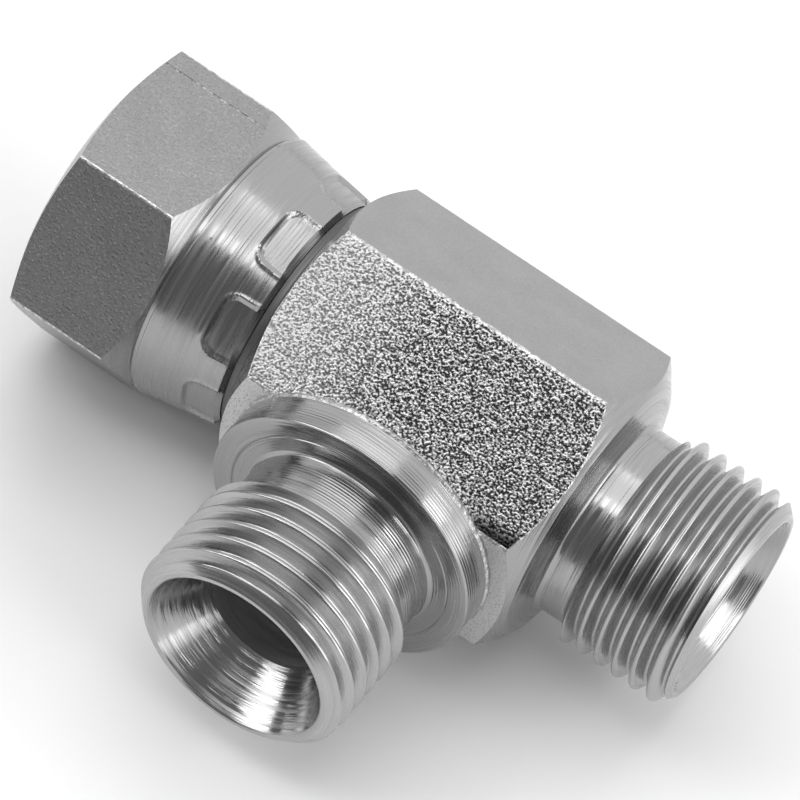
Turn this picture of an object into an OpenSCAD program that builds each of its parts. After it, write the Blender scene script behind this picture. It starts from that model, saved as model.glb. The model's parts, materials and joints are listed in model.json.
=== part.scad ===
// Swivel run tee for hydraulic lines, with G 1/2 threads and 60 degree coned seats.
// The run lies along X, with its male end at +X and the swivel nut at -X. The branch leaves along -Y.
// The origin is the point where the run axis and the branch axis cross. Sizes are in millimetres.

/* [Thread] */
// Outside diameter of the male pipe thread
thread_d = 20.955; // [20.5:0.005:21.4]
// Distance from one crest to the next
thread_pitch = 1.814; // [1.7:0.001:1.9]
// Included angle of the thread flanks
thread_angle = 55; // [55:1:60]
// Length of the lead chamfer at a male end
lead_chamfer = 1.25; // [1:0.05:1.4]
// Depth by which the necks lie under the thread's root, and the relief outside it, on the radius
thread_relief = 0.12; // [0.08:0.01:0.2]

/* [Passages and seats] */
// Diameter of the passages through the run and the branch
bore_d = 11.5; // [10:0.1:12]
// Diameter of the coned seat at the mouth of a male end
seat_d = 17.4; // [16.6:0.1:17.6]
// Included angle of the coned seats and of the nose
seat_angle = 60; // [50:1:70]

/* [Body block] */
// Width across the flats of the six-sided block
block_af = 26; // [25:0.1:28]
// Length of the block's ridges, between the end chamfers
block_ridge_len = 26.7; // [26.4:0.1:34]
// Slope of the end chamfers, from a plane across the run
block_chamfer_angle = 34; // [20:1:45]
// Diameter at which an end chamfer meets its shoulder
shoulder_d = 24.8; // [24:0.1:24.9]
// Slope of the shoulders, from a plane across the run
shoulder_angle = 14; // [5:1:20]

/* [Male run end] */
// Length of the neck between the shoulder and the thread
run_neck_len = 2.9; // [2.4:0.1:8]
// Length of the run's thread, with its chamfers
run_thread_len = 11.2; // [8:0.1:16]
// Radius of the fillet between the shoulder and the neck
run_fillet_r = 0.6; // [0.3:0.1:1]

/* [Branch] */
// Diameter of the turned collar
collar_d = 26; // [24:0.1:28]
// Height of the collar above the block's flat
collar_t = 3.4; // [2:0.1:5]
// Width of the chamfer on the collar's front edge
collar_edge = 0.25; // [0.1:0.05:0.5]
// Slope of the collar's back, from a plane across the branch
collar_back_angle = 30; // [15:1:40]
// Length of the neck between the collar and the thread
branch_neck_len = 4.4; // [3:0.1:8]
// Length of the branch's thread, with its chamfers
branch_thread_len = 11.2; // [8:0.1:16]
// Radius of the fillet between the collar and the neck
branch_fillet_r = 1.3; // [0.6:0.1:1.5]

/* [Swivel tail] */
// Diameter of the neck that the nut turns round
tail_neck_d = 17.8; // [17:0.1:18.2]
// Depth by which the head lies under the thread's outside, on the radius
head_under = 0.18; // [0.15:0.01:0.4]
// Length of the head's cylinder
head_len = 2; // [1.5:0.1:2.4]
// Diameter of the nose where its cone begins
nose_d = 17.2; // [16.8:0.1:17.6]
// Diameter of the nose at its tip
nose_tip_d = 13.8; // [13.4:0.1:14.6]

/* [Swivel nut] */
// Width across the flats of the nut
nut_af = 26; // [25.4:0.1:28]
// Length of the nut, from the rear rim to the mouth
nut_len = 21.05; // [20.6:0.05:22]
// Distance from the rear rim to the back of the hexagon's ridges
nut_ridge_back = 10.35; // [10:0.05:11]
// Slope of the hexagon's front chamfer, from a plane across the run
nut_front_angle = 22; // [15:1:35]
// Diameter of the flat ring on the front face
nut_face_d = 24.6; // [23:0.1:24.8]
// Slope of the hexagon's rear chamfer, from a plane across the run
nut_rear_angle = 39; // [30:1:45]
// Diameter of the skirt next to the hexagon
skirt_front_d = 26.1; // [25.6:0.1:26.4]
// Width of the turned groove between hexagon and skirt
skirt_groove_w = 0.5; // [0.3:0.05:0.8]
// Depth of the turned groove between hexagon and skirt
skirt_groove_t = 0.35; // [0.2:0.05:0.5]
// Diameter of the skirt where its closed-in part begins
skirt_mid_d = 25.1; // [24.8:0.1:25.4]
// Length of the skirt's closed-in part
skirt_close_len = 4.85; // [4.6:0.05:5.2]
// Diameter of the skirt's rear rim
rim_d = 23.6; // [23:0.1:24]
// Radius on the outer corner of the rear rim
rim_r = 0.5; // [0.2:0.1:0.8]
// Distance from the rear rim to the foot of the head's back
lip_len = 3.15; // [3:0.05:3.4]
// Length of female thread, from the mouth to its relief
nut_thread_len = 10.6; // [9.6:0.1:10.8]
// Length of the relief behind the female thread
nut_relief_len = 2.8; // [2.4:0.1:3]
// Length of the chamfer in the nut's mouth
mouth_chamfer = 1.4; // [1.2:0.1:1.6]

/* [Crimps] */
// Number of crimp impressions round the skirt
crimps = 8; // [6:1:9]
// Width of an impression round the skirt
crimp_w = 6.2; // [4:0.1:6.6]
// Length of an impression, from the rear rim
crimp_len = 3.55; // [2.5:0.05:3.8]
// Depth of an impression below the skirt
crimp_depth = 0.35; // [0.15:0.05:0.5]
// Radius of an impression's front corners
crimp_r = 1; // [0.5:0.1:1.2]
// Turn of the first impression from the nut's top flat, in degrees
crimp_turn = 9.5; // [0:0.5:45]

/* [Clearances] */
// Gap between the head and the nut's bore, on the radius
head_clearance = 0.1; // [0.05:0.01:0.15]
// Gap between the tail's neck and the nut's lip, on the radius
lip_clearance = 0.3; // [0.2:0.05:0.4]
// Gap along the run between the lip and the head's back
end_float = 0.3; // [0.2:0.05:0.4]
// Gap along the run between the nut's rim and the block's shoulder
rim_gap = 0.35; // [0.3:0.05:0.6]

/* [Hidden] */
$fn = 96;
// Flat facets in one turn of a thread groove
groove_steps = 30;
// How far a cut runs past the face that it opens
past = 1;

// The thread: depth of the standard form, radii, and the slope of a flank from a plane across it
thread_depth = 0.640327 * thread_pitch;
thread_r = thread_d / 2;
root_r = thread_r - thread_depth;
pitch_r = thread_r - thread_depth / 2;
flank = tan(thread_angle / 2);
groove_over = thread_pitch / 10;
tip_r = thread_r - lead_chamfer;
neck_r = root_r - thread_relief;
relief_r = thread_r + thread_relief;
seat_slope = tan(seat_angle / 2);
seat_depth = (seat_d - bore_d) / 2 / seat_slope;

// The block and its two male ends, as distances from the crossing
block_r = block_af / 2 / cos(30);
ridge_x = block_ridge_len / 2;
chamfer_slope = tan(block_chamfer_angle);
shoulder_r = shoulder_d / 2;
shoulder_slope = tan(shoulder_angle);
shoulder_x = ridge_x + (block_r - shoulder_r) * chamfer_slope;
run_neck_x = shoulder_x + (shoulder_r - neck_r) * shoulder_slope;
run_reach = run_neck_x + run_neck_len + run_thread_len;
collar_back_y = block_af / 2;
collar_y = collar_back_y + collar_t;
branch_reach = collar_y + branch_neck_len + branch_thread_len;

// The nut and the tail in it, as distances from the crossing
rim_face_r = rim_d / 2 - rim_r;
nut_rim_x = shoulder_x + (shoulder_r - rim_face_r) * shoulder_slope + rim_gap;
nut_mouth_x = nut_rim_x + nut_len;
nut_r = nut_af / 2 / cos(30);
nut_ridge_x = nut_rim_x + nut_ridge_back;
nut_front_slope = tan(nut_front_angle);
nut_rear_slope = tan(nut_rear_angle);
skirt_floor_r = skirt_front_d / 2 - skirt_groove_t;
skirt_front_x = nut_ridge_x - (nut_r - skirt_floor_r) * nut_rear_slope;
skirt_mid_x = nut_rim_x + skirt_close_len;
skirt_slope = (skirt_mid_d - rim_d) / 2 / skirt_close_len;
relief_x = nut_mouth_x - nut_thread_len - nut_relief_len;
tail_neck_r = tail_neck_d / 2;
head_r = thread_r - head_under;
head_bore_r = head_r + head_clearance;
head_back_x = nut_rim_x + lip_len;
head_x = head_back_x + head_r - tail_neck_r;
nose_x = head_x + head_len;
nose_tip_x = nose_x + (nose_d - nose_tip_d) / 2 / seat_slope;
lip_r = tail_neck_r + lip_clearance;
lip_x = head_back_x - end_float + lip_clearance;

// Points on an arc about [cx, cy], from one angle to another
function arc(cx, cy, r, from, to, n = 6) =
    [for (i = [0:n]) let (a = from + (to - from) * i / n) [cx + r * cos(a), cy + r * sin(a)]];

// Half of a groove's width at a radius, for a male thread
function groove_w(r) = thread_pitch / 4 + (r - pitch_r) * flank;

// Turns a profile of [radius, distance] points about X, with its distances along +X
module turned(profile) {
    rotate([0, 90, 0]) rotate_extrude() polygon(profile);
}

// The same with its distances along -X, for the nut and the tail
module turned_back(profile) {
    rotate([0, 0, 180]) turned(profile);
}

// A right-hand helical groove along Z. sides holds its [place, radius] corners, in order round the section.
module helix(sides, start, length) {
    n = ceil(length / thread_pitch * groove_steps);
    k = len(sides);
    points = [for (i = [0:n], s = sides)
        let (a = 360 * i / groove_steps)
        [s[1] * cos(a), s[1] * sin(a), start + s[0] + thread_pitch * i / groove_steps]];
    walls = [for (i = [0:n - 1], j = [0:k - 1], t = [0, 1])
        let (a = i * k + j, b = i * k + (j + 1) % k)
        t == 0 ? [a, b + k, b] : [a, a + k, b + k]];
    caps = [[for (j = [0:k - 1]) j], [for (j = [k - 1:-1:0]) n * k + j]];
    polyhedron(points, concat(walls, caps), convexity = 10);
}

// The groove of a male thread. It starts clear over the neck and leaves through the end chamfer.
module male_groove(neck_end, reach) {
    outer = thread_r + groove_over;
    sides = [
        [-groove_w(outer), outer],
        [-groove_w(root_r), root_r],
        [groove_w(root_r), root_r],
        [groove_w(outer), outer]
    ];
    first = neck_end - thread_pitch;
    helix(sides, first, reach + thread_pitch - first);
}

// The groove of the female thread. It starts in the relief and leaves through the mouth.
module female_groove() {
    inner = root_r - groove_over;
    sides = [
        [groove_w(2 * pitch_r - inner), inner],
        [groove_w(root_r), thread_r],
        [-groove_w(root_r), thread_r],
        [-groove_w(2 * pitch_r - inner), inner]
    ];
    first = relief_x + nut_relief_len / 2;
    helix(sides, first, nut_mouth_x + thread_pitch - first);
}

// A male end along X: fillet at its foot, neck, thread blank and lead chamfer
module male_end(foot, neck_len, reach, fillet_r) {
    start = foot + neck_len;
    turned(concat(
        [[0, 0], [neck_r + fillet_r, 0]],
        arc(neck_r + fillet_r, foot + fillet_r, fillet_r, 270, 180),
        [[neck_r, start], [thread_r, start + (thread_r - neck_r) / 2],
         [thread_r, reach - lead_chamfer], [tip_r, reach], [0, reach]]));
}

// The coned seat cut into a male end along X
module seat(reach) {
    turned([[0, reach - seat_depth], [bore_d / 2, reach - seat_depth],
        [seat_d / 2 + past * seat_slope, reach + past], [0, reach + past]]);
}

// The six-sided block, with its corners turned away at both ends
module block() {
    far = block_r + past;
    far_x = shoulder_x - (far - shoulder_r) * chamfer_slope;
    intersection() {
        rotate([0, 90, 0]) cylinder(r = block_r, h = 2 * run_neck_x, $fn = 6, center = true);
        turned([[0, -run_neck_x], [neck_r, -run_neck_x], [shoulder_r, -shoulder_x], [far, -far_x],
            [far, far_x], [shoulder_r, shoulder_x], [neck_r, run_neck_x], [0, run_neck_x]]);
    }
}

// The collar on the branch, with its back coned down into the block
module collar() {
    back_r = neck_r / 2;
    back_y = collar_back_y - (collar_d / 2 - back_r) * tan(collar_back_angle);
    rotate([0, 0, -90]) turned([[0, back_y], [back_r, back_y],
        [collar_d / 2, collar_back_y], [collar_d / 2, collar_y - collar_edge],
        [collar_d / 2 - collar_edge, collar_y], [0, collar_y]]);
}

// The tail inside the nut: neck, head with sloped back, and coned nose
module tail() {
    turned_back([[0, 0], [tail_neck_r, 0], [tail_neck_r, head_back_x], [head_r, head_x],
        [head_r, nose_x], [nose_d / 2, nose_x], [nose_tip_d / 2, nose_tip_x], [0, nose_tip_x]]);
}

module tee_body() {
    run_thread_x = run_reach - run_thread_len;
    branch_thread_y = branch_reach - branch_thread_len;
    color("silver") difference() {
        union() {
            block();
            male_end(run_neck_x, run_neck_len, run_reach, run_fillet_r);
            collar();
            rotate([0, 0, -90]) male_end(collar_y, branch_neck_len, branch_reach, branch_fillet_r);
            tail();
        }
        translate([-nose_tip_x - past, 0, 0]) rotate([0, 90, 0])
            cylinder(d = bore_d, h = nose_tip_x + run_reach + 2 * past);
        rotate([90, 0, 0]) cylinder(d = bore_d, h = branch_reach + past);
        seat(run_reach);
        rotate([0, 0, -90]) seat(branch_reach);
        rotate([0, 90, 0]) male_groove(run_thread_x, run_reach);
        rotate([90, 0, 0]) male_groove(branch_thread_y, branch_reach);
    }
}

// The outline of one crimp impression, open past the rear rim, with X along the run
module crimp_outline() {
    flat_w = crimp_w - 2 * crimp_r;
    translate([-crimp_len, -flat_w / 2]) square([crimp_len + past, flat_w]);
    translate([crimp_r - crimp_len, -crimp_w / 2]) square([crimp_len - crimp_r + past, crimp_w]);
    for (side = [-1, 1]) translate([crimp_r - crimp_len, side * flat_w / 2]) circle(r = crimp_r);
}

// The ring of metal outside the floors of the impressions, which follow the skirt's slope
module crimp_ring() {
    near_x = nut_rim_x - past;
    far_x = nut_rim_x + crimp_len + past;
    floor_r = rim_d / 2 - crimp_depth;
    turned_back([[floor_r - past * skirt_slope, near_x], [nut_r, near_x], [nut_r, far_x],
        [floor_r + (crimp_len + past) * skirt_slope, far_x]]);
}

// The six-sided part of the nut, with its corners turned away at both ends
module nut_hexagon() {
    far = nut_r + past;
    intersection() {
        translate([-nut_mouth_x, 0, 0]) rotate([0, 90, 0]) rotate([0, 0, 30])
            cylinder(r = nut_r, h = nut_len, $fn = 6);
        turned_back([[0, skirt_front_x], [skirt_floor_r, skirt_front_x],
            [far, nut_ridge_x + past * nut_rear_slope],
            [far, nut_mouth_x - (far - nut_face_d / 2) * nut_front_slope],
            [nut_face_d / 2, nut_mouth_x], [0, nut_mouth_x]]);
    }
}

// The skirt, closed in toward its rear rim. The rim's face follows the block's shoulder.
module nut_skirt() {
    bulge_r = skirt_front_d / 2;
    join_x = skirt_front_x + past;
    turned_back(concat(
        [[lip_r - lip_clearance, nut_rim_x + (rim_face_r - lip_r) * shoulder_slope],
         [lip_r, nut_rim_x + (rim_face_r - lip_r) * shoulder_slope]],
        arc(rim_face_r, nut_rim_x + rim_r, rim_r, -90, 0),
        [[skirt_mid_d / 2, skirt_mid_x], [bulge_r, skirt_front_x - skirt_groove_w],
         [skirt_floor_r, skirt_front_x - skirt_groove_w + skirt_groove_t / 2],
         [skirt_floor_r, join_x], [lip_r - lip_clearance, join_x]]));
}

// The cavity of the nut: lip, bore round the head, relief, thread's inside diameter and mouth
module nut_cavity() {
    relief_end = relief_x + nut_relief_len;
    turned_back([[0, nut_rim_x - past], [lip_r, nut_rim_x - past], [lip_r, lip_x],
        [head_bore_r, lip_x + head_bore_r - lip_r], [head_bore_r, relief_x], [relief_r, relief_x],
        [relief_r, relief_end], [root_r, relief_end + relief_r - root_r],
        [root_r, nut_mouth_x - mouth_chamfer], [root_r + mouth_chamfer + past, nut_mouth_x + past],
        [0, nut_mouth_x + past]]);
}

module swivel_nut() {
    color("gainsboro") difference() {
        union() {
            nut_hexagon();
            nut_skirt();
        }
        nut_cavity();
        rotate([0, -90, 0]) female_groove();
        for (i = [0:crimps - 1]) intersection() {
            crimp_ring();
            rotate([crimp_turn + i * 360 / crimps, 0, 0]) translate([-nut_rim_x, 0, 0])
                linear_extrude(height = nut_r) crimp_outline();
        }
    }
}

tee_body();
swivel_nut();
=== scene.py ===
# %% [markdown]
# # A swivel tee in bright plated steel
# The object is a hydraulic run tee: a six-sided block with a threaded end, a threaded branch
# with a turned collar, and a six-sided nut crimped onto the third end so that it can still turn.
# The CAD part gives the sizes and the joint. This file gives the two steel pieces the finish
# of the real ones: rounded thread crests, broken edges, turning marks, grain and plating.

import json
import math

import bpy
from mathutils import Matrix, Vector

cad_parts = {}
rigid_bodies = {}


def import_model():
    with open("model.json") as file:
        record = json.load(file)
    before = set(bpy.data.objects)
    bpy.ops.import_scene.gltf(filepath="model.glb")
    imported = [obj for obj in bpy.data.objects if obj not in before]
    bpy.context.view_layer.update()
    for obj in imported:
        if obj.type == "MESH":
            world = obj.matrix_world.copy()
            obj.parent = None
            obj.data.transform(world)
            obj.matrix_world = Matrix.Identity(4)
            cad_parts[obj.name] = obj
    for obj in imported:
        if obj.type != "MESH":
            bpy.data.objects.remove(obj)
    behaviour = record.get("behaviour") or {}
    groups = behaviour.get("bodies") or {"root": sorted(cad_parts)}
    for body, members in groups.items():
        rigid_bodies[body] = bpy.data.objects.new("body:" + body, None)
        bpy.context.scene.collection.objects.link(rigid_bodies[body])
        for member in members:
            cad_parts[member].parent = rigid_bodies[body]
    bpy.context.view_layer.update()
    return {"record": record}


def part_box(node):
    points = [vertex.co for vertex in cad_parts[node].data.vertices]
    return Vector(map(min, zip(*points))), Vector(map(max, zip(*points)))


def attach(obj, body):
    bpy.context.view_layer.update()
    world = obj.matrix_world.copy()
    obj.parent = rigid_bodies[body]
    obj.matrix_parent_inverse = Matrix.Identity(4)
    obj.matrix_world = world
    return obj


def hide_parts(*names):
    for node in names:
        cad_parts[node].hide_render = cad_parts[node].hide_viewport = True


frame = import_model()

# %% [markdown]
# ## Sizes
# The CAD nodes carry the sizes, so the reach of each end is read from their boxes, and the
# thread's radius from the record. Modelling is done in millimetres, because the parts are
# small, and each finished piece is brought to metres once, at its end.

# %% Sizes from the frame, in millimetres
MM = 0.001
body_low, body_high = (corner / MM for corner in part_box("tee_body"))
nut_low, nut_high = (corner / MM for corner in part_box("swivel_nut"))
mounts = {m["name"]: m for m in frame["record"]["mounts"]}

run_end = body_high.x
branch_end = -body_low.y
nose_end = -body_low.x
block_r = body_high.z
nut_mouth = -nut_low.x
nut_rim = -nut_high.x
nut_r = nut_high.y
thread_r = mounts["run_thread"]["dims"]["r_mm"]
root_r = mounts["nut_thread"]["dims"]["r_mm"]
print(f"run end {run_end:.2f}, branch end {branch_end:.2f}, nut mouth {nut_mouth:.2f} mm")

# %% [markdown]
# The nodes' boxes don't say where a chamfer or a neck begins, so the sizes of the features are
# stated once here, as the CAD part has them. An angle is turned into the slope that it gives.

# %% Sizes that the CAD part gives its features, in millimetres
thread_pitch = 1.814
crest_round = 0.1373 * thread_pitch  # as the thread's standard form has it
flank_angle = math.radians(27.5)
lead_chamfer = 1.25
thread_len = 11.2
neck_r = root_r - 0.12
bore_r = 5.75
seat_r = 8.7
seat_slope = math.tan(math.radians(30))
block_ridge = 13.35
chamfer_slope = math.tan(math.radians(34))
shoulder_r = 12.4
shoulder_slope = math.tan(math.radians(14))
shoulder_x = block_ridge + (block_r - shoulder_r) * chamfer_slope
run_foot = shoulder_x + (shoulder_r - neck_r) * shoulder_slope
flat_y = block_r * math.cos(math.radians(30))
collar_r = 13.0
collar_y = flat_y + 3.4
collar_back_slope = math.tan(math.radians(30))
print(f"shoulder at {shoulder_x:.2f}, run's neck from {run_foot:.2f}, flats at {flat_y:.2f} mm")

# %% [markdown]
# ## Helpers for lathe work
# Almost every surface here was cut on a lathe. In Blender a lathe is a half outline and the
# spin operator. The Screw modifier could turn it too, but the operator leaves plain mesh at
# once, ready for a Boolean. The outline is drawn the way one draws by hand: a plane is merged
# down to one point, and that point is extruded from corner to corner.

# %% Draw and spin an outline
SPIN_STEPS = 128
MERGE = 1e-4


def select_only(*objects):
    """Leaves edit mode and selects these objects alone, with the last one active."""
    if bpy.context.object and bpy.context.object.mode != "OBJECT":
        bpy.ops.object.mode_set(mode="OBJECT")
    bpy.ops.object.select_all(action="DESELECT")
    for obj in objects:
        obj.select_set(True)
    bpy.context.view_layer.objects.active = objects[-1] if objects else None


def draw_outline(name, corners):
    """An open line through (x, radius) corners, drawn in the plane y = 0."""
    select_only()
    bpy.ops.mesh.primitive_plane_add(size=0.5, location=(0, 0, 0))
    outline = bpy.context.object
    outline.name = name
    bpy.ops.object.mode_set(mode="EDIT")
    bpy.ops.mesh.select_all(action="SELECT")
    bpy.ops.mesh.merge(type="CENTER")
    x, r = corners[0]
    bpy.ops.transform.translate(value=(x, 0, r))
    for next_x, next_r in corners[1:]:
        step = (next_x - x, 0, next_r - r)
        bpy.ops.mesh.extrude_region_move(TRANSFORM_OT_translate={"value": step})
        x, r = next_x, next_r
    bpy.ops.object.mode_set(mode="OBJECT")
    return outline


def round_corner(x, r, radius, start, end, steps=8):
    """Corners along an arc about (x, r). Angles are in degrees from +x toward +r."""
    angles = [math.radians(start + (end - start) * i / steps) for i in range(steps + 1)]
    return [(x + radius * math.cos(a), r + radius * math.sin(a)) for a in angles]


def lathe(name, corners, finish, steps=SPIN_STEPS):
    """Spins an outline about X. It begins and ends on the axis, so the turned solid is closed."""
    turned = draw_outline(name, corners)
    bpy.ops.object.mode_set(mode="EDIT")
    bpy.ops.mesh.select_all(action="SELECT")
    bpy.ops.mesh.spin(steps=steps, angle=math.tau, center=(0, 0, 0), axis=(1, 0, 0))
    bpy.ops.mesh.select_all(action="SELECT")
    bpy.ops.mesh.remove_doubles(threshold=MERGE)
    bpy.ops.mesh.normals_make_consistent(inside=False)
    bpy.ops.object.mode_set(mode="OBJECT")
    turned.data.materials.append(finish)
    return turned


# %% [markdown]
# A turned tool stands along X. It is swung to the branch or round the run, and then joined,
# intersected or cut with a Boolean modifier. The Manifold solver is quick on such closed solids,
# and with its materials set to transfer, each cut face keeps the finish of the tool that made it.

# %% Turn, cut and give a finish
def swing(obj, degrees, axis="Z"):
    """Turns a piece about the origin and applies the turn."""
    select_only(obj)
    obj.rotation_euler = [math.radians(degrees) if a == axis else 0 for a in "XYZ"]
    bpy.ops.object.transform_apply(location=False, rotation=True, scale=False)


def cut(target, tool, how):
    """Joins, intersects or cuts target with tool, and takes the tool away."""
    select_only(target)
    boolean = target.modifiers.new("cut", "BOOLEAN")
    boolean.object = tool
    boolean.operation = how
    boolean.solver = "MANIFOLD"
    boolean.material_mode = "TRANSFER"
    bpy.ops.object.modifier_apply(modifier=boolean.name)
    bpy.data.objects.remove(tool)


def finish_faces(piece, finish, belongs):
    """Gives a finish of their own to the faces that belong to it."""
    piece.data.materials.append(finish)
    for face in piece.data.polygons:
        if belongs(face):
            face.material_index = len(piece.data.materials) - 1


def faces_of(obj):
    return len(obj.data.polygons)


# %% [markdown]
# ## Finishes
# All of it is bright plated steel, so colour says little and the surface says all. A lathe
# leaves fine rings, a forge leaves a skin of pebbles, drawn bar keeps pimples, and handling rubs
# the edges bright. A painted image would need unwrapping and would blur close up. Noise on the
# object's own coordinates needs neither. Here it is counted in millimetres and drives the bump,
# and also the tone and roughness where the plating is thin or rubbed. Some of the tone is painted
# light and shade: glints on the pimples, highlights on rubbed edges, shade in the forged hollows,
# by the collar and in the gap at the nut, and light toward the nut's end and in the bores.

# %% Helpers for the finishes
def add_node(tree, kind, **values):
    """Adds a node. A value that is a socket is linked, any other is set."""
    made = tree.nodes.new("ShaderNode" + kind)
    for name, value in values.items():
        socket = made.inputs[name.replace("_", " ")]
        if isinstance(value, bpy.types.NodeSocket):
            tree.links.new(value, socket)
        else:
            socket.default_value = value
    return made


def place_mm(tree):
    """The object's coordinates in millimetres."""
    place = tree.nodes.new("ShaderNodeTexCoord").outputs["Object"]
    return add_node(tree, "Mapping", Vector=place, Scale=[1 / MM] * 3).outputs["Vector"]


def noise(tree, place, per_mm, detail=2.0, roughness=0.5, side=None):
    """Noise of one size. With a fourth coordinate, side, it is noise in four dimensions."""
    made = add_node(
        tree, "TexNoise", Vector=place, Scale=per_mm, Detail=detail, Roughness=roughness
    )
    if side is not None:
        made.noise_dimensions = "4D"
        tree.links.new(side, made.inputs["W"])
    return made.outputs["Fac"]


def combine(tree, how, first, second=0.0):
    """Arithmetic on one or two values, of which the second may be a plain number."""
    made = tree.nodes.new("ShaderNodeMath")
    made.operation = how
    tree.links.new(first, made.inputs[0])
    if isinstance(second, bpy.types.NodeSocket):
        tree.links.new(second, made.inputs[1])
    else:
        made.inputs[1].default_value = second
    return made.outputs["Value"]


def spread(tree, value, low, high, to_low, to_high):
    """Maps low..high of a value to to_low..to_high, and holds it there outside."""
    return add_node(
        tree,
        "MapRange",
        Value=value,
        From_Min=low,
        From_Max=high,
        To_Min=to_low,
        To_Max=to_high,
    ).outputs["Result"]


def bump(tree, height, depth_mm, under=None):
    """Raises the surface by a value, on top of another bump where one is given."""
    made = add_node(tree, "Bump", Height=height, Distance=depth_mm * MM, Strength=1.0)
    if under is not None:
        tree.links.new(under, made.inputs["Normal"])
    return made.outputs["Normal"]


def shade(tree, tone, roughness, normal):
    """Links a metal's grey tone, its roughness and its bump to the shader."""
    shader = tree.nodes["Principled BSDF"]
    shader.inputs["Metallic"].default_value = 1.0
    colour = add_node(tree, "CombineColor", Red=tone, Green=tone, Blue=tone)
    tree.links.new(colour.outputs["Color"], shader.inputs["Base Color"])
    tree.links.new(roughness, shader.inputs["Roughness"])
    tree.links.new(normal, shader.inputs["Normal"])


def new_finish(name):
    """A new material and its node tree."""
    material = bpy.data.materials.new(name)
    material.use_nodes = True
    return material, material.node_tree


# %% [markdown]
# ### Turned steel
# A tool mark is a ring, so it depends on the place along the axis and the distance from it,
# and hardly on the way round. Noise is read at these two, with the way round scaled down in the
# third and fourth coordinates, so that a ring fades and returns as it goes round. One recipe
# then serves cylinders, cones and faces across the axis alike. A sine of the tool's path adds
# the even feed marks, which show only where the chatter lets them.

# %% Turned finish
AROUND = 0.3
CHATTER_PER_MM, LINES_PER_MM, DULL_PER_MM, FEEDS_PER_MM = 1.4, 5.5, 2.6, 3.4


def ring_place(tree, axis):
    """Where a point is among the rings round one axis: three coordinates, then the fourth."""
    place = place_mm(tree)
    across = tree.nodes.new("ShaderNodeVectorMath")
    across.operation = "MULTIPLY"
    tree.links.new(place, across.inputs[0])
    across.inputs[1].default_value = [0 if a == axis else 1 for a in "XYZ"]
    radius = tree.nodes.new("ShaderNodeVectorMath")
    radius.operation = "LENGTH"
    tree.links.new(across.outputs["Vector"], radius.inputs[0])
    way = tree.nodes.new("ShaderNodeVectorMath")
    way.operation = "NORMALIZE"
    tree.links.new(across.outputs["Vector"], way.inputs[0])
    along = add_node(tree, "SeparateXYZ", Vector=place).outputs[axis]
    turn = add_node(tree, "SeparateXYZ", Vector=way.outputs["Vector"])
    up = combine(tree, "MULTIPLY", turn.outputs["Z"], AROUND)
    side = combine(tree, "MULTIPLY", turn.outputs["Y" if axis == "X" else "X"], AROUND)
    rings = add_node(tree, "CombineXYZ", X=along, Y=radius.outputs["Value"], Z=up)
    return rings.outputs["Vector"], side


def feed_marks(tree, place, chatter):
    """Even grooves along the tool's path, the sum of its way along and across the axis."""
    parts = add_node(tree, "SeparateXYZ", Vector=place)
    path = combine(tree, "ADD", parts.outputs["X"], parts.outputs["Y"])
    wave = combine(tree, "SINE", combine(tree, "MULTIPLY", path, math.tau * FEEDS_PER_MM))
    return combine(tree, "MULTIPLY", wave, spread(tree, chatter, 0.4, 0.6, 0.0, 1.0))


def turned_finish(name, axis, tone, roughness, fine_mm, coarse_mm, feed_mm=0.0, streaks=0.04):
    """Steel off the lathe: even feed marks and stray lines over coarser chatter."""
    material, tree = new_finish(name)
    place, side = ring_place(tree, axis)
    chatter = noise(tree, place, CHATTER_PER_MM, 2.0, 0.5, side)
    stray = noise(tree, place, LINES_PER_MM, 2.0, 0.6, side)
    lines = spread(tree, stray, 0.38, 0.62, 0.0, 1.0)
    dull = spread(tree, noise(tree, place, DULL_PER_MM, 2.0, 0.6, side), 0.38, 0.66, 0.0, 1.0)
    normal = bump(tree, lines, fine_mm, bump(tree, chatter, coarse_mm))
    if feed_mm:
        normal = bump(tree, feed_marks(tree, place, chatter), feed_mm, normal)
    shade(
        tree,
        spread(tree, lines, 0.0, 1.0, tone * (1 - streaks), tone * (1 + streaks)),
        spread(tree, dull, 0.0, 1.0, roughness - 0.04, roughness + 0.16),
        normal,
    )
    return material


# %% [markdown]
# ### Forged skin
# The block's flats were never machined. Their pebbles are rubbed bright on top, and the hollows
# between them get painted shade, so height drives the tone as well as the bump. A slow slope
# along
# X paints light onto the skin toward the nut's end, where it is also a little rougher. In the
# corner beside the collar the skin is smoothed and darkened with painted shade.

# %% Forged finish
PAINTED_LIGHT_FROM_X, PAINTED_LIGHT_TO_X = -1.0, -14.0
COLLAR_SHADE_X, COLLAR_SHADE_Y = (7.5, 10.5), (-12.7, -11.3)


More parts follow.
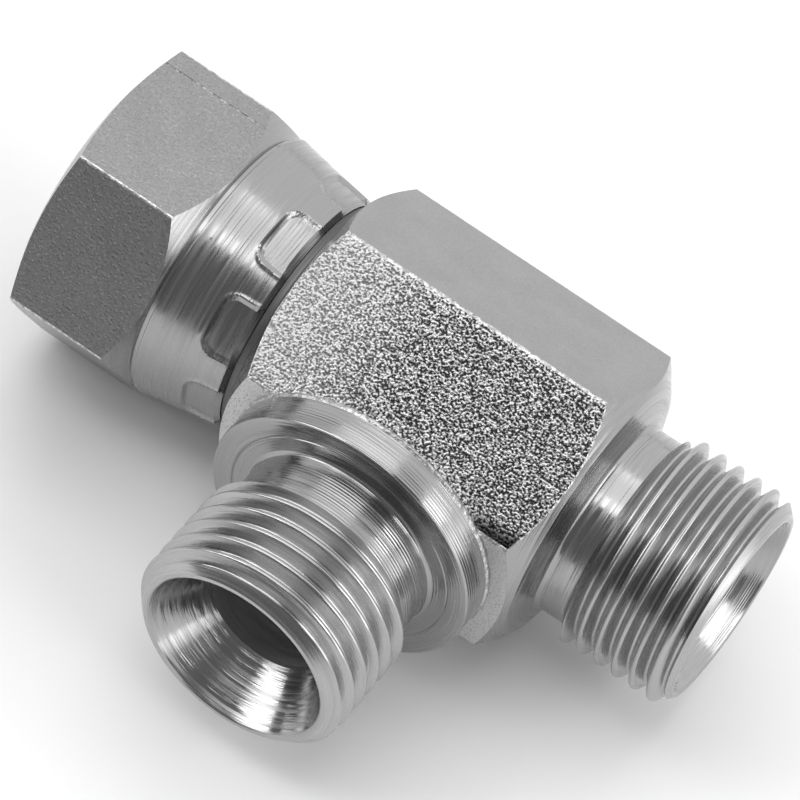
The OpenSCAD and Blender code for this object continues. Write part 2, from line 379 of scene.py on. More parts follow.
def forged_finish(name, low_tone, high_tone, roughness, grain_per_mm, grain_mm):
    """Forged skin: rubbed pebble tops over painted shade, with painted light toward the nut."""
    material, tree = new_finish(name)
    place = place_mm(tree)
    peel = noise(tree, place, grain_per_mm, 1.0, 0.35)
    parts = add_node(tree, "SeparateXYZ", Vector=place)
    # Painted light: this slope along X lightens the skin's tone toward the nut's end.
    painted_light_toward_nut = spread(tree, parts.outputs["X"], PAINTED_LIGHT_TO_X, PAINTED_LIGHT_FROM_X, 1.0, 0.0)
    by_ridge = spread(tree, parts.outputs["Y"], *COLLAR_SHADE_Y, 1.0, 0.0)
    by_end = spread(tree, parts.outputs["X"], *COLLAR_SHADE_X, 0.0, 1.0)
    # Painted shade: this mask darkens the skin in the corner beside the collar, and smooths its
    # bump.
    collar_corner_painted_shade = combine(tree, "MULTIPLY", by_ridge, by_end)
    pebbles_and_painted_light = combine(tree, "ADD", peel, spread(tree, painted_light_toward_nut, 0.0, 1.0, 0.0, 0.1))
    # Painted shade: low heights, the hollows between pebbles, get a very dark tone; the rubbed
    # tops are bright.
    pebble_tone_painted_shade = spread(tree, pebbles_and_painted_light, 0.42, 0.66, low_tone, high_tone)
    pebble_tone_painted_shade = combine(tree, "MULTIPLY", pebble_tone_painted_shade, spread(tree, collar_corner_painted_shade, 0.0, 1.0, 1.0, 0.15))
    # Painted light: toward the nut, the darkest tone is lifted to this floor.
    painted_light_floor = combine(tree, "MULTIPLY", painted_light_toward_nut, 0.4 * high_tone)
    height = combine(tree, "MULTIPLY", peel, spread(tree, collar_corner_painted_shade, 0.0, 1.0, 1.0, 0.25))
    shade(
        tree,
        combine(tree, "MAXIMUM", pebble_tone_painted_shade, painted_light_floor),
        spread(tree, painted_light_toward_nut, 0.0, 1.0, roughness - 0.04, roughness + 0.1),
        bump(tree, height, grain_mm),
    )
    return material


# %% [markdown]
# ### Drawn, struck and rubbed steel
# Drawn bar and struck faces share a faint even grain. The nut's bar also has tiny pimples, cells
# of a Voronoi pattern, raised a little and brightened with a painted glint, and the flat behind
# the collar has pits, which are the peaks of a finer noise. An edge that was knocked about is
# rubbed bright in broken lengths, partly worn plating and partly a painted highlight.

# %% Skin and rubbed finishes
SPECKS_PER_MM, PITS_PER_MM, KNOCKS_PER_MM = 3.0, 6.0, 2.2


def skin_finish(name, tone, roughness, grain_per_mm, grain_mm, pits=0.0, specks=0.0):
    """Drawn or struck steel: a faint even grain, with dark pits or tiny pimples with painted
    glints.
    """
    material, tree = new_finish(name)
    place = place_mm(tree)
    peel = noise(tree, place, grain_per_mm, 2.0, 0.5)
    wear = noise(tree, place, 0.3, 3.0)
    toned = spread(tree, wear, 0.3, 0.7, tone * 0.96, tone * 1.04)
    toned = combine(tree, "ADD", toned, spread(tree, peel, 0.3, 0.7, -0.1 * tone, 0.1 * tone))
    normal = bump(tree, peel, grain_mm)
    if specks:
        cells = add_node(tree, "TexVoronoi", Vector=place, Scale=SPECKS_PER_MM)
        # Painted glint: each pimple's tone is raised, besides its small bump.
        pimple_painted_glints = spread(tree, cells.outputs["Distance"], specks, specks + 0.16, 1.0, 0.0)
        toned = combine(tree, "ADD", toned, combine(tree, "MULTIPLY", pimple_painted_glints, 0.38 * tone))
        normal = bump(tree, pimple_painted_glints, 0.006, normal)
    if pits:
        holes = spread(tree, noise(tree, place, PITS_PER_MM, 1.0), 0.6, 0.68, 0.0, 1.0)
        toned = combine(tree, "SUBTRACT", toned, combine(tree, "MULTIPLY", holes, pits))
        normal = bump(tree, holes, -0.04, normal)
    shade(tree, toned, spread(tree, peel, 0.3, 0.7, roughness - 0.04, roughness + 0.04), normal)
    return material


def rubbed_painted_highlight_finish(name, low_tone, high_tone, roughness):
    """An edge that was knocked and rubbed: bright in broken lengths, partly a painted highlight.
    """
    material, tree = new_finish(name)
    place = place_mm(tree)
    # Painted highlight: the knocks lift the edges' tone above the flats', on top of real wear.
    knocks = noise(tree, place, KNOCKS_PER_MM, 3.0, 0.7)
    shade(
        tree,
        spread(tree, knocks, 0.4, 0.6, low_tone, high_tone),
        spread(tree, knocks, 0.3, 0.7, roughness + 0.1, roughness - 0.05),
        bump(tree, knocks, 0.1),
    )
    return material


# %% [markdown]
# ### The finishes of this part
# A turned finish is made once for each axis, because its rings lie round that axis. Seats were
# cut last and are the smoothest. Drilled passages are rough, and their lighter tone is painted
# light.

# %% Make the finishes
forged_flats = forged_finish("forged_flats", 0.03, 0.55, 0.32, 4.6, 0.062)
pale_flats = skin_finish("pale_flats", 0.34, 0.34, 5.0, 0.01)
pitted_side = skin_finish("pitted_side", 0.62, 0.4, 5.0, 0.03, pits=0.38)
rubbed_edges = rubbed_painted_highlight_finish("rubbed_edges", 0.3, 0.7, 0.34)
turned_run = turned_finish("turned_along_run", "X", 0.35, 0.17, 0.006, 0.04, 0.009)
turned_branch = turned_finish("turned_along_branch", "Y", 0.35, 0.17, 0.005, 0.035, 0.007)
# Painted shade: a very dark tone for the boss and shoulder in the gap under the nut's rim.
dull_tail = turned_finish("dull_tail", "X", 0.15, 0.5, 0.005, 0.02)
seat_run = turned_finish("seat_along_run", "X", 0.37, 0.15, 0.005, 0.012, 0.006)
seat_branch = turned_finish("seat_along_branch", "Y", 0.37, 0.15, 0.005, 0.012, 0.006)
cut_run = turned_finish("thread_along_run", "X", 0.4, 0.22, 0.005, 0.01)
cut_branch = turned_finish("thread_along_branch", "Y", 0.4, 0.22, 0.005, 0.01)
# Painted light: the bores get a lighter tone than the other turned steel.
drilled_run_painted_light = turned_finish("drilled_along_run", "X", 0.56, 0.5, 0.01, 0.03)
drilled_branch_painted_light = turned_finish("drilled_along_branch", "Y", 0.56, 0.5, 0.01, 0.03)
nut_flats = skin_finish("nut_flats", 0.265, 0.3, 4.6, 0.024, specks=0.1)
nut_faced = turned_finish("nut_faced", "X", 0.335, 0.2, 0.003, 0.02, 0.002, 0.015)
nut_turned = turned_finish("nut_turned", "X", 0.335, 0.19, 0.006, 0.055, 0.003, 0.02)
print("finishes:", len(bpy.data.materials))

# %% [markdown]
# ## The thread
# A pipe thread is one rounded wave, wound round its axis. Plain rings would be simpler, but they
# don't climb, and a real thread does. So one pitch of the wave is drawn from crest to crest and
# the Screw modifier winds it, and each turn's last edge meets the next turn's first. The open
# ends are drawn together to a point, which makes a closed threaded rod.

# %% Wind a threaded rod
THREAD_STEPS = 72
CREST_STEPS = 5


def thread_wave(start):
    """One pitch of the rounded thread form, from crest to crest."""
    crest, root = thread_r - crest_round, root_r + crest_round
    open_angle = 90 - math.degrees(flank_angle)
    wave = []
    for k in range(CREST_STEPS + 1):
        t = math.radians(open_angle * k / CREST_STEPS)
        wave.append((crest_round * math.sin(t), crest + crest_round * math.cos(t)))
    half = [(thread_pitch / 2 - x, crest + root - r) for x, r in reversed(wave)]
    rising = wave + half
    falling = [(thread_pitch - x, r) for x, r in reversed(rising[:-1])]
    return [(start + x, r) for x, r in rising + falling]


def threaded_rod(name, start, turns, finish):
    """A closed rod that carries the thread, from start along +X."""
    rod = draw_outline(name, thread_wave(start))
    screw = rod.modifiers.new("wind", "SCREW")
    screw.axis = "X"
    screw.screw_offset = thread_pitch
    screw.iterations = turns
    screw.steps = screw.render_steps = THREAD_STEPS
    bpy.ops.object.modifier_apply(modifier=screw.name)
    bpy.ops.object.mode_set(mode="EDIT")
    bpy.ops.mesh.select_all(action="SELECT")
    bpy.ops.mesh.remove_doubles(threshold=MERGE)
    middle = start + thread_pitch * (turns + 1) / 2
    for side in (-1, 1):
        bpy.ops.mesh.select_all(action="DESELECT")
        bpy.ops.mesh.select_non_manifold()
        bpy.ops.object.mode_set(mode="OBJECT")
        for vertex in rod.data.vertices:
            if (vertex.co.x - middle) * side < 0:
                vertex.select = False
        for edge in rod.data.edges:
            edge.select = all(rod.data.vertices[v].select for v in edge.vertices)
        bpy.ops.object.mode_set(mode="EDIT")
        bpy.ops.mesh.extrude_region_move(
            TRANSFORM_OT_translate={"value": (side * thread_pitch, 0, 0)}
        )
        bpy.ops.mesh.merge(type="CENTER")
    bpy.ops.mesh.select_all(action="SELECT")
    bpy.ops.mesh.normals_make_consistent(inside=False)
    bpy.ops.object.mode_set(mode="OBJECT")
    rod.data.materials.append(finish)
    return rod


# %% [markdown]
# A male end is what the rod and a turned blank have in common. The blank stands a little over
# the crests, slopes down to the neck behind the thread and has the lead chamfer in front, so
# the thread runs out at both ends as it does under a real die.

# %% Turn a male end's blank and thread it
BLANK_OVER, TIP_ROUND = 0.15, 0.12


def male_thread(name, reach, finish):
    """The threaded length of a male end along X, with its run-out and lead chamfer."""
    start = reach - thread_len
    over = thread_r + BLANK_OVER
    tip_r = thread_r - lead_chamfer - 0.1
    blank = lathe(
        name,
        [(start - 0.4, 0), (start - 0.4, neck_r - 0.5), (start, neck_r)]
        + [(start + (over - neck_r) / 2, over), (reach - lead_chamfer - BLANK_OVER, over)]
        + round_corner(reach - TIP_ROUND, tip_r, TIP_ROUND, 45, 0, 3)
        + [(reach, 0)],
        finish,
    )
    turns = math.ceil(thread_len / thread_pitch) + 3
    rod = threaded_rod(name + "_rod", start - 2 * thread_pitch, turns, finish)
    cut(blank, rod, "INTERSECT")
    print(name, "has", faces_of(blank), "faces")
    return blank


# %% [markdown]
# ## The tee's body
# The real body is one forging: the block's flats keep the forge's skin and everything round is
# turned. It is built as the machinist would see it, one turned shape after another, and joined
# into one solid, each face keeping the finish of the tool that made it.
#
# Both pieces begin as six-sided bar. A cylinder of six sides is laid along X, and its ridges
# are broken by the bevel operator, which also puts the rubbed finish, with its painted highlight,
# there.

# %% Six-sided bar
EDGE_BREAK = 0.16


def hex_bar(name, corner_r, low_x, high_x, turn, finish):
    """A six-sided bar along X. Its ridges are softly broken and rubbed bright, with a painted
    highlight.
    """
    select_only()
    bpy.ops.mesh.primitive_cylinder_add(
        vertices=6, radius=corner_r, depth=high_x - low_x, location=(0, 0, 0)
    )
    bar = bpy.context.object
    bar.name = name
    bar.rotation_euler = (0, math.pi / 2, 0)
    bpy.ops.object.transform_apply(rotation=True)
    swing(bar, turn, "X")
    bar.location = ((low_x + high_x) / 2, 0, 0)
    bpy.ops.object.transform_apply(location=True)
    bpy.ops.object.mode_set(mode="EDIT")
    bpy.ops.mesh.select_all(action="DESELECT")
    bpy.ops.object.mode_set(mode="OBJECT")
    for edge in bar.data.edges:
        a, b = (bar.data.vertices[v].co for v in edge.vertices)
        edge.select = abs(a.x - b.x) > 1
    bpy.ops.object.mode_set(mode="EDIT")
    bar.data.materials.append(finish)
    bar.data.materials.append(rubbed_edges)
    bpy.ops.mesh.bevel(offset=EDGE_BREAK, segments=2, affect="EDGES", material=1)
    bpy.ops.object.mode_set(mode="OBJECT")
    return bar


# %% [markdown]
# ### The run
# One outline holds all that is turned along the run, from the nose in the nut to the neck behind
# the thread, and what it and the bar have in common is the run. Beside the nut the chamfer ends
# at the flats, and a low boss fills the bottom of the gap. The boss and the shoulder behind it
# are given painted shade, a very dark tone, so that the gap is one even dark band up to the
# forged skin. The flats are told apart by their normals: one pair is forged, the flat behind the
# collar is pitted, and the others are plain.

# %% Turn the run
PAST = 1.0  # how far a blank or a cutter reaches past what it trims
NECK_OVERLAP = 1.2  # how far a neck reaches into its thread
RUN_FILLET = 0.6
NOSE_ROUND, HEAD_ROUND = 0.25, 0.3
tail_neck_r, head_r = 8.9, thread_r - 0.18
head_back, head_len = nut_rim + 3.15, 2.0
nose_r, nose_tip_r = 8.6, 6.9
head_x = head_back + head_r - tail_neck_r
far_r = block_r + PAST
far_x = shoulder_x - (far_r - shoulder_r) * chamfer_slope

SHOULDER_BACK, BOSS_CLEAR, BOSS_FOOT, BOSS_R = 0.15, 0.05, 0.3, 11.2
tail_shoulder_r = flat_y
tail_shoulder_x = shoulder_x - (tail_shoulder_r - shoulder_r) * chamfer_slope - SHOULDER_BACK
boss_end = nut_rim - BOSS_CLEAR
boss_foot = run_foot - (BOSS_R - neck_r) * shoulder_slope - BOSS_FOOT

run_outline = (
    [(-nose_end, 0)]
    + round_corner(-nose_end + NOSE_ROUND, nose_tip_r - 0.1, NOSE_ROUND, 180, 150, 3)
    + [(-head_x - head_len, nose_r)]
    + round_corner(-head_x - head_len + HEAD_ROUND, head_r - HEAD_ROUND, HEAD_ROUND, 180, 90, 4)
    + [(-head_x, head_r), (-head_back, tail_neck_r), (-boss_end, tail_neck_r)]
    + [(-boss_end, BOSS_R), (-boss_foot, BOSS_R)]
    + [(-tail_shoulder_x, tail_shoulder_r), (-far_x, far_r)]
    + [(far_x, far_r), (shoulder_x, shoulder_r)]
    + round_corner(run_foot + RUN_FILLET, neck_r + RUN_FILLET, RUN_FILLET, 180, 270)
    + [(run_end - thread_len + NECK_OVERLAP, neck_r), (run_end - thread_len + NECK_OVERLAP, 0)]
)
run_blank = lathe("run_turned", run_outline, turned_run)
# Painted shade: the boss and the shoulder behind it get the very dark tail tone.
finish_faces(
    run_blank, dull_tail, lambda face: -boss_end - 0.01 < face.center.x < -tail_shoulder_x
)

grained = Vector((0, -0.5, math.cos(math.radians(30))))
body = hex_bar("body", block_r, -nose_end - PAST, run_end, 30, forged_flats)
finish_faces(
    body,
    pale_flats,
    lambda face: face.material_index == 0 and abs(face.normal.dot(grained)) < 0.9,
)
finish_faces(
    body, pitted_side, lambda face: face.material_index == 2 and face.normal.y < -0.9
)
cut(body, run_blank, "INTERSECT")
print("run:", faces_of(body), "faces, nut's rim at", round(nut_rim, 2), "mm")

# %% [markdown]
# Where a turned end meets a forged flat, the real edge is an arc that was rubbed bright. The
# edges between the two finishes are found by the materials on their two sides, and a narrow
# bevel gives them a rubbed face of their own, with a painted highlight. The bevel may lift a
# corner by a hair, so the points are held within the block's height.

# %% Rub the arcs at the ends of the forged flats
ARC_WIDTH = 0.07


def rub_arcs(piece, turned, flats, width):
    """Breaks the arcs where a turned end meets the flats, and rubs them bright with a painted
    highlight.
    """
    names = [finish.name for finish in piece.data.materials]
    rubbed = names.index(rubbed_edges.name)
    wanted = sorted((names.index(turned.name), names.index(flats.name)))
    sides = {}
    for face in piece.data.polygons:
        for key in face.edge_keys:
            sides.setdefault(key, []).append(face.material_index)
    select_only(piece)
    bpy.ops.object.mode_set(mode="EDIT")
    bpy.ops.mesh.select_all(action="DESELECT")
    bpy.ops.object.mode_set(mode="OBJECT")
    for edge in piece.data.edges:
        edge.select = sorted(sides[edge.key]) == wanted
    bpy.ops.object.mode_set(mode="EDIT")
    bpy.ops.mesh.bevel(offset=width, segments=1, affect="EDGES", material=rubbed)
    bpy.ops.mesh.select_all(action="DESELECT")
    bpy.ops.mesh.select_non_manifold()
    bpy.ops.object.mode_set(mode="OBJECT")
    for vertex in piece.data.vertices:
        vertex.co.z = min(max(vertex.co.z, -block_r), block_r)
    print("open edges after the arcs:", sum(edge.select for edge in piece.data.edges))


rub_arcs(body, turned_run, forged_flats, ARC_WIDTH)

# %% [markdown]
# ### The branch
# The branch is one more outline: the collar's back is coned down into the block, a burr stands
# along its back edge, its front edge is broken, its face carries one shallow tool mark, and a
# fillet leads to the neck. It is turned along X, swung round to -Y and joined.

# %% Collar and neck of the branch
BRANCH_FILLET, COLLAR_EDGE, BACK_STEP = 0.45, 0.25, 0.1
BURR_W, BURR_H = 0.5, 0.14
MARK_R, MARK_W, MARK_T = 10.95, 0.06, 0.06
collar_back = flat_y - (collar_r - neck_r / 2) * collar_back_slope
burr = [
    (flat_y + BURR_W * f, collar_r + BURR_H * math.sin(math.pi * f)) for f in (0, 0.25, 0.6, 1)
]
tool_mark = [(collar_y, MARK_R + 2 * MARK_W), (collar_y - MARK_T, MARK_R)]
tool_mark += [(collar_y, MARK_R - MARK_W)]
branch = lathe(
    "branch",
    [(collar_back, 0), (collar_back, neck_r / 2), (flat_y - BACK_STEP, collar_r - BACK_STEP)]
    + burr
    + round_corner(collar_y - COLLAR_EDGE, collar_r - COLLAR_EDGE, COLLAR_EDGE, 90, 0, 4)
    + tool_mark
    + round_corner(collar_y + BRANCH_FILLET, neck_r + BRANCH_FILLET, BRANCH_FILLET, 180, 270)
    + [(branch_end - thread_len + NECK_OVERLAP, neck_r)]
    + [(branch_end - thread_len + NECK_OVERLAP, 0)],
    turned_branch,
)
back_of_burr, front_of_burr = flat_y - BACK_STEP / 2, flat_y + 0.8 * BURR_W
finish_faces(branch, pitted_side, lambda face: face.center.x < back_of_burr)
finish_faces(branch, rubbed_edges, lambda face: back_of_burr <= face.center.x < front_of_burr)
swing(branch, -90)
cut(body, branch, "UNION")
print("body before its threads:", faces_of(body), "faces")

# %% [markdown]
# ### Threads, passages and seats
# The threads are joined on before the body is drilled, so that one drill and one seat cutter
# go through neck and thread together. A tool for the branch is the run's tool, swung to -Y.

# %% Thread, drill and seat the body
SEAT_BREAK = 0.1


def drill(name, start, end, finish):
    """A drill of the passages' size along X."""
    return lathe(name, [(start, 0), (start, bore_r), (end, bore_r), (end, 0)], finish)


def seat_cutter(name, reach, finish):
    """The cutter of a coned seat along X, which also breaks the seat's outer edge."""
    tip = reach - seat_r / seat_slope
    outline = [(tip, 0), (reach - SEAT_BREAK, seat_r - SEAT_BREAK * seat_slope)]
    outline += [(reach, seat_r + SEAT_BREAK), (reach + PAST, seat_r + PAST + SEAT_BREAK)]
    return lathe(name, outline + [(reach + PAST, 0)], finish)


cut(body, male_thread("run_thread", run_end, cut_run), "UNION")
branch_thread = male_thread("branch_thread", branch_end, cut_branch)
swing(branch_thread, -90)
cut(body, branch_thread, "UNION")

cut(body, drill("run_drill", -nose_end - PAST, run_end + PAST, drilled_run_painted_light), "DIFFERENCE")
cut(body, seat_cutter("run_seat", run_end, seat_run), "DIFFERENCE")
for tool in (
    drill("branch_drill", 0, branch_end + PAST, drilled_branch_painted_light),
    seat_cutter("branch_seat", branch_end, seat_branch),
):
    swing(tool, -90)
    cut(body, tool, "DIFFERENCE")
print("body:", faces_of(body), "faces")

# %% [markdown]
# ## The swivel nut
# The nut is turned from six-sided bar, so it begins as the block did: a bar, and an outline with
# the two chamfers that turn its corners away. It is made pointing along +X, with all distances
# counted from the crossing, and turned round onto the tail at the end.

# %% Nut: hexagon with its chamfers
NUT_FRONT = math.tan(math.radians(22))
NUT_REAR = math.tan(math.radians(39))
nut_face_r, skirt_r, skirt_mid_r, skirt_close, rim_r = 12.3, 13.05, 12.55, 4.85, 11.8
groove_w, groove_t = 0.5, 0.35
ridge_back = nut_rim + 10.35
floor_r = skirt_r - groove_t
skirt_front = ridge_back - (nut_r - floor_r) * NUT_REAR
nut_far_r = nut_r + PAST
nut = hex_bar("nut", nut_r, nut_rim + PAST, nut_mouth, 0, nut_flats)
nut_ends = lathe(
    "nut_ends",
    [(skirt_front, 0), (skirt_front, floor_r), (ridge_back + PAST * NUT_REAR, nut_far_r)]
    + [(nut_mouth - (nut_far_r - nut_face_r) * NUT_FRONT, nut_far_r)]
    + [(nut_mouth, nut_face_r), (nut_mouth, 0)],
    nut_faced,
)
cut(nut, nut_ends, "INTERSECT")
print("nut's bar:", faces_of(nut), "faces")

# %% [markdown]
# ### The skirt
# The skirt is a sleeve that closes toward its rim. Subdividing a coarse sleeve would bend its
# corners, so the closed part is turned with many rings and many steps at once. The crimps are
# pressed into it next and need points to move.

# %% Turn the skirt
SKIRT_STEPS, RING_STEP, RINGS = 576, 0.1, 41
RIM_CHAMFER, RIM_ROUND = 0.42, 0.08
rim_face_r = rim_r - 0.5
lip_r = tail_neck_r + 0.3
lip_back = nut_rim + (rim_face_r - lip_r) * shoulder_slope
skirt_slope = (skirt_mid_r - rim_r) / skirt_close
rim_x = nut_rim + RIM_CHAMFER
rings = [rim_x + RING_STEP * i for i in range(1, RINGS + 1)]
skirt = lathe(
    "skirt",
    [(lip_back, 0), (lip_back, lip_r), (nut_rim, rim_face_r)]
    + round_corner(rim_x, rim_r - RIM_ROUND, RIM_ROUND, 140, 90, 2)
    + [(x, rim_r + (x - rim_x) * skirt_slope) for x in rings]
    + [(skirt_front - groove_w, skirt_r), (skirt_front - groove_w + groove_t / 2, floor_r)]
    + [(skirt_front + PAST, floor_r), (skirt_front + PAST, 0)],
    nut_turned,
    SKIRT_STEPS,
)

# %% [markdown]
# ### The crimps
# Eight jaws closed the skirt behind the tail's head, and each left a shallow print with round
# corners and a faint lip of steel that was pushed up round it. Cutting eight blocks out would
# leave hard edges. Here each point gets two weights from its distance to the print's outline, one
# for the print and one for the lip, and two Displace modifiers press and raise the steel.

# %% Press the eight jaws' prints into the skirt
CRIMPS, CRIMP_TURN = 8, 9.5
CRIMP_W, CRIMP_LEN, CRIMP_R, CRIMP_DEPTH = 5.7, 3.2, 1.2, 0.34
CRIMP_WALL, CRIMP_LIP, LIP_SPREAD, RIM_FADE = 0.58, 0.07, 0.19, 0.5
FLATTEN, LEAST_PRINT = 0.45, 0.5


def smooth_step(value, low, high):
    """Rises smoothly from 0 at low to 1 at high."""
    t = min(max((value - low) / (high - low), 0), 1)
    return t * t * (3 - 2 * t)


def off_print(x, arc):
    """How far a point of the skirt is outside the print's rounded outline, in mm."""
    past_end = x - nut_rim - CRIMP_LEN + CRIMP_R
    past_side = abs(arc) - CRIMP_W / 2 + CRIMP_R
    corner = math.hypot(max(past_end, 0), max(past_side, 0))
    return corner + min(max(past_end, past_side), 0) - CRIMP_R


prints = skirt.vertex_groups.new(name="prints")
lips = skirt.vertex_groups.new(name="lips")
pitch_angle = 360 / CRIMPS
for vertex in skirt.data.vertices:
    x, y, z = vertex.co
    radius = math.hypot(y, z)
    if x > nut_rim + CRIMP_LEN + 1 or radius < rim_face_r + 0.1:
        continue
    turn = (math.degrees(math.atan2(y, z)) - CRIMP_TURN) % pitch_angle
    arc = math.radians(min(turn, pitch_angle - turn)) * radius
    off = off_print(x, arc)
    flatter = 1 - FLATTEN * (2 * arc / CRIMP_W) ** 2
    pressed = smooth_step(-off, -CRIMP_WALL / 2, CRIMP_WALL / 2) * max(flatter, LEAST_PRINT)
    raised = math.exp(-(((off - CRIMP_WALL / 2) / LIP_SPREAD) ** 2))
    at_rim = smooth_step(x, nut_rim, nut_rim + RIM_FADE)
    prints.add([vertex.index], pressed, "REPLACE")
    lips.add([vertex.index], raised * at_rim, "REPLACE")
for group, height in (("prints", -CRIMP_DEPTH), ("lips", CRIMP_LIP)):
    select_only(skirt)
    press = skirt.modifiers.new(group, "DISPLACE")
    press.vertex_group, press.strength, press.mid_level = group, height, 0
    bpy.ops.object.modifier_apply(modifier=press.name)
skirt.vertex_groups.clear()
print("skirt:", faces_of(skirt), "faces")

# %% [markdown]
# ### The inside
# The lip, the room for the tail's head and the relief behind the thread are one turned cavity.
# The female thread is cut with the same threaded rod that made the male ones, so they fit.

# %% Join the skirt, and cut the cavity and the thread
HEAD_GAP, THREAD_GAP, ROOT_UNDER = 0.1, 0.12, 0.02
relief_len, nut_thread_len, mouth_chamfer = 2.8, 10.6, 1.4
head_bore_r, relief_r = head_r + HEAD_GAP, thread_r + THREAD_GAP
relief_end = nut_mouth - nut_thread_len
relief_x = relief_end - relief_len
crest_bore_r = root_r - ROOT_UNDER
cut(nut, skirt, "UNION")
cavity = lathe(
    "cavity",
    [(nut_rim - PAST, 0), (nut_rim - PAST, lip_r), (head_back, lip_r)]
    + [(head_back + head_bore_r - lip_r, head_bore_r), (relief_x, head_bore_r)]
    + [(relief_x, relief_r), (relief_end, relief_r)]
    + [(relief_end + relief_r - root_r, crest_bore_r), (nut_mouth - mouth_chamfer, crest_bore_r)]
    + [(nut_mouth + PAST, root_r + mouth_chamfer + PAST), (nut_mouth + PAST, 0)],
    nut_turned,
)
cut(nut, cavity, "DIFFERENCE")
turns = math.ceil((nut_mouth - relief_x) / thread_pitch) + 1
cut(nut, threaded_rod("winding", relief_x + 0.4, turns, nut_turned), "DIFFERENCE")
swing(nut, 180)

# %% [markdown]
# ### Marks of use
# A line is scored into the nut's top flat, and two nicks sit in the skirt behind the hexagon's
# ridge. Each is cut by a small block turned onto its edge, which leaves a V with rubbed sides.

# %% Score the top flat and nick the skirt
SCORE_SIZE, SCORE_X, SCORE_Y = (14, 0.11, 0.11), -31, 5.55
NICKS = ((-24.07, 19.3, 0.42), (-22.86, 27.1, 0.36))  # place along X, turn, size
NICK_SHAPE, NICK_SLANT, NICK_LIFT = (0.6, 2.0, 1.0), 35, 0.3

select_only()
nut_flat_z = nut_r * math.cos(math.radians(30))
bpy.ops.mesh.primitive_cube_add(size=1, location=(SCORE_X, SCORE_Y, nut_flat_z))
scriber = bpy.context.object
scriber.scale = SCORE_SIZE
scriber.rotation_euler = (math.radians(45), 0, 0)
bpy.ops.object.transform_apply(location=True, rotation=True, scale=True)
scriber.data.materials.append(rubbed_edges)
cut(nut, scriber, "DIFFERENCE")

for nick_x, turn, size in NICKS:
    select_only()
    bpy.ops.mesh.primitive_cube_add(size=size, location=(0, 0, 0))
    nick = bpy.context.object
    nick.scale = NICK_SHAPE
    bpy.ops.object.transform_apply(scale=True)
    swing(nick, 45, "X")
    swing(nick, NICK_SLANT)
    nick.location = (nick_x, 0, skirt_r + NICK_LIFT * size)
    bpy.ops.object.transform_apply(location=True)
    swing(nick, turn, "X")
    nick.data.materials.append(rubbed_edges)
    cut(nut, nick, "DIFFERENCE")
print("nut:", faces_of(nut), "faces")

# %% [markdown]
# ## Hand both pieces over
# Each piece is brought to metres and its place is applied, so that its object sits at the
# origin. Smooth shading all over would wash out the ridges, so only faces that meet at less
# than 14 degrees are shaded as one. Each piece then stands for its CAD node and moves with
# its body.

# %% Bring both pieces to metres and shade them
SMOOTH_UNDER = math.radians(14)


def finish_piece(piece, name, body_name, node):
    """Welds, scales and shades a piece, and has it stand for its CAD node."""
    select_only(piece)
    bpy.ops.object.mode_set(mode="EDIT")
    bpy.ops.mesh.select_all(action="SELECT")
    bpy.ops.mesh.remove_doubles(threshold=MERGE)
    bpy.ops.object.mode_set(mode="OBJECT")
    piece.scale = (MM, MM, MM)
    bpy.ops.object.transform_apply(location=True, rotation=True, scale=True)
    bpy.ops.object.shade_smooth_by_angle(angle=SMOOTH_UNDER)
    piece.name = name
    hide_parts(node)
    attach(piece, body_name)
    print(name, "has", faces_of(piece), "faces")


finish_piece(body, "steel_tee_body", "body", "tee_body")
finish_piece(nut, "steel_swivel_nut", "nut", "swivel_nut")

# %% [markdown]
# ## The camera
# The photograph was taken with a long lens from above the branch, with the camera rolled. So
# the camera looks at a point by the crossing from a direction given by azimuth and elevation, and
# is turned about its own line of sight at the end.

# %% Camera
AIM = Vector((-3.86, -1.32, 0.05)) * MM
DISTANCE, AZIMUTH, ELEVATION, ROLL = 504.37 * MM, 19.96, 54.62, 17.35
LENS, SENSOR = 263.6, 36
azimuth, elevation = math.radians(AZIMUTH), math.radians(ELEVATION)
back = Vector(
    (
        math.sin(azimuth) * math.cos(elevation),
        -math.cos(azimuth) * math.cos(elevation),
        math.sin(elevation),
    )
)
bpy.ops.object.camera_add(location=AIM + back * DISTANCE)
camera = bpy.context.object
camera.rotation_mode = "QUATERNION"
level = (-back).to_track_quat("-Z", "Y")
camera.rotation_quaternion = level @ Matrix.Rotation(math.radians(ROLL), 4, "Z").to_quaternion()
camera.data.lens, camera.data.sensor_width = LENS, SENSOR
camera.data.clip_start, camera.data.clip_end = 0.01, 10
bpy.context.scene.camera = camera
print("camera at", [round(c, 3) for c in camera.location], "m")

# %% [markdown]
# ## Floor and surroundings
# Bright steel shows little but what it mirrors, so the surroundings matter more than the lamps.
# The floor is plain pale paper at the height of the block's lowest ridge. The room is dim in
# front and bright behind, with a bright patch low on the right, which the chamfer beside the
# nut's ridge picks up. It depends on the direction alone, so it stays put in every view.

# %% Floor and room
FLOOR_SIZE, PAPER_TONE, PAPER_ROUGHNESS = 6, 0.9, 0.9
ROOM_FRONT, ROOM_BACK, BACK_FROM, BACK_TO = 0.21, 1.2, 0.2, 0.52
RIGHT_PATCH, PATCH_FROM, PATCH_TO = 2.8, 0.82, 0.97

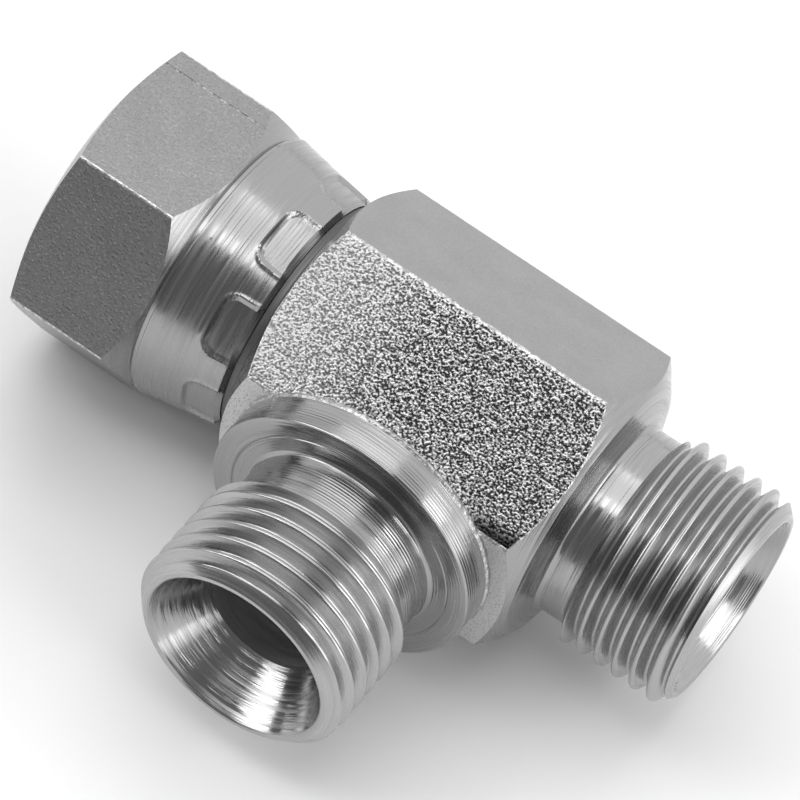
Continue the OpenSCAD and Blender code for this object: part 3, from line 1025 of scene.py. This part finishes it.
bpy.ops.mesh.primitive_plane_add(size=FLOOR_SIZE, location=(0, 0, -block_r * MM))
floor = bpy.context.object
floor.name = "floor"
paper = bpy.data.materials.new("paper_floor")
paper.use_nodes = True
paper_shader = paper.node_tree.nodes["Principled BSDF"]
paper_shader.inputs["Base Color"].default_value = (PAPER_TONE, PAPER_TONE, PAPER_TONE, 1)
paper_shader.inputs["Roughness"].default_value = PAPER_ROUGHNESS
floor.data.materials.append(paper)

world = bpy.data.worlds.new("studio")
world.use_nodes = True
bpy.context.scene.world = world
tree = world.node_tree
direction = tree.nodes.new("ShaderNodeTexCoord").outputs["Generated"]
toward = add_node(tree, "SeparateXYZ", Vector=direction)
glow = combine(
    tree,
    "ADD",
    spread(tree, toward.outputs["Y"], BACK_FROM, BACK_TO, ROOM_FRONT, ROOM_BACK),
    spread(tree, toward.outputs["X"], PATCH_FROM, PATCH_TO, 0.0, RIGHT_PATCH),
)
tree.nodes["Background"].inputs["Color"].default_value = (1, 1, 1, 1)
tree.links.new(glow, tree.nodes["Background"].inputs["Strength"])
print("floor at", round(-block_r, 2), "mm")

# %% [markdown]
# ## Soft boxes
# A small part is lit by large soft boxes near it. One wide box overhead gives the flats their
# even tone, a narrow strip draws the bright bands along everything round, and one box at
# each side lights the ends. A box's power is worked out from how bright its face should look.

# %% Light
BOX_DISTANCE = 0.9


def soft_box(name, aim, width, height, brightness, place=None):
    """A soft box out along aim that shines back. With a place, it hangs there instead."""
    aim = Vector(aim).normalized()
    bpy.ops.object.light_add(type="AREA", location=place or aim * BOX_DISTANCE)
    lamp = bpy.context.object
    lamp.name = name
    lamp.rotation_euler = (-aim).to_track_quat("-Z", "Y").to_euler()
    lamp.data.shape = "RECTANGLE"
    lamp.data.size, lamp.data.size_y = width, height
    lamp.data.energy = math.pi * width * height * brightness


soft_box("overhead", (0, 0, 1), 0.9, 0.62, 1.6, place=(-0.25, 0.14, BOX_DISTANCE))
soft_box("front_strip", (0, 0, 1), 0.9, 0.2, 3.0, place=(-0.25, -0.27, BOX_DISTANCE))
soft_box("right", (0.77, 0.02, 0.6), 0.75, 0.34, 3.3)
soft_box("left", (-0.74, -0.37, 0.58), 0.35, 0.7, 3.3)
print("soft boxes:", len(bpy.data.lights))

# %% [markdown]
# The view transform is Standard, because the photograph has full white and full black, and
# Blender's usual one would draw both toward grey.

# %% View transform
bpy.context.scene.view_settings.view_transform = "Standard"
